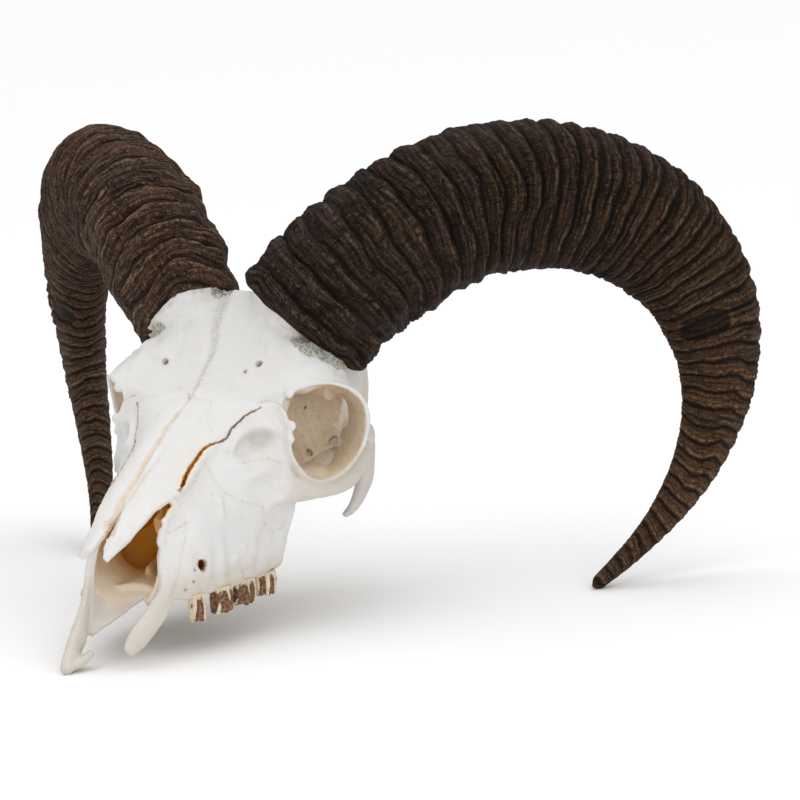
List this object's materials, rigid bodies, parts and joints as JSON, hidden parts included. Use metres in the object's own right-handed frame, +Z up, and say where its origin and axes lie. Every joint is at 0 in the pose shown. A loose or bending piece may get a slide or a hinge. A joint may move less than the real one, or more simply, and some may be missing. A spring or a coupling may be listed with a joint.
{
  "type": "mouflon skull",
  "caption": "Cleaned ram's skull without its lower jaw, with two large ridged horns that curl out, back and down to the floor, and its worn upper cheek teeth.",
  "frame": {"origin": "on the floor, under the middle of the whole object's box", "axes": "+X towards the animal's left, -Y the way the face points, +Z up as it lies on its nose and horn tips"},
  "size_m": [0.353, 0.2562, 0.1946],
  "materials": {
    "bone": "bleached matt bone, cream to tan in its hollows",
    "horn": "dark brown ridged horn with a dull sheen",
    "tooth": "ivory enamel ridges with dark brown tartar between them"
  },
  "bodies": {
    "root": {"cranium": "bone", "horn_left": "horn", "horn_right": "horn", "left_premolar_2": "tooth", "left_molar_1": "tooth", "left_molar_2": "tooth", "left_molar_3": "tooth", "right_premolar_1": "tooth", "right_premolar_2": "tooth", "right_premolar_3": "tooth", "right_molar_1": "tooth", "right_molar_2": "tooth", "right_molar_3": "tooth"}
  },
  "joints": []
}
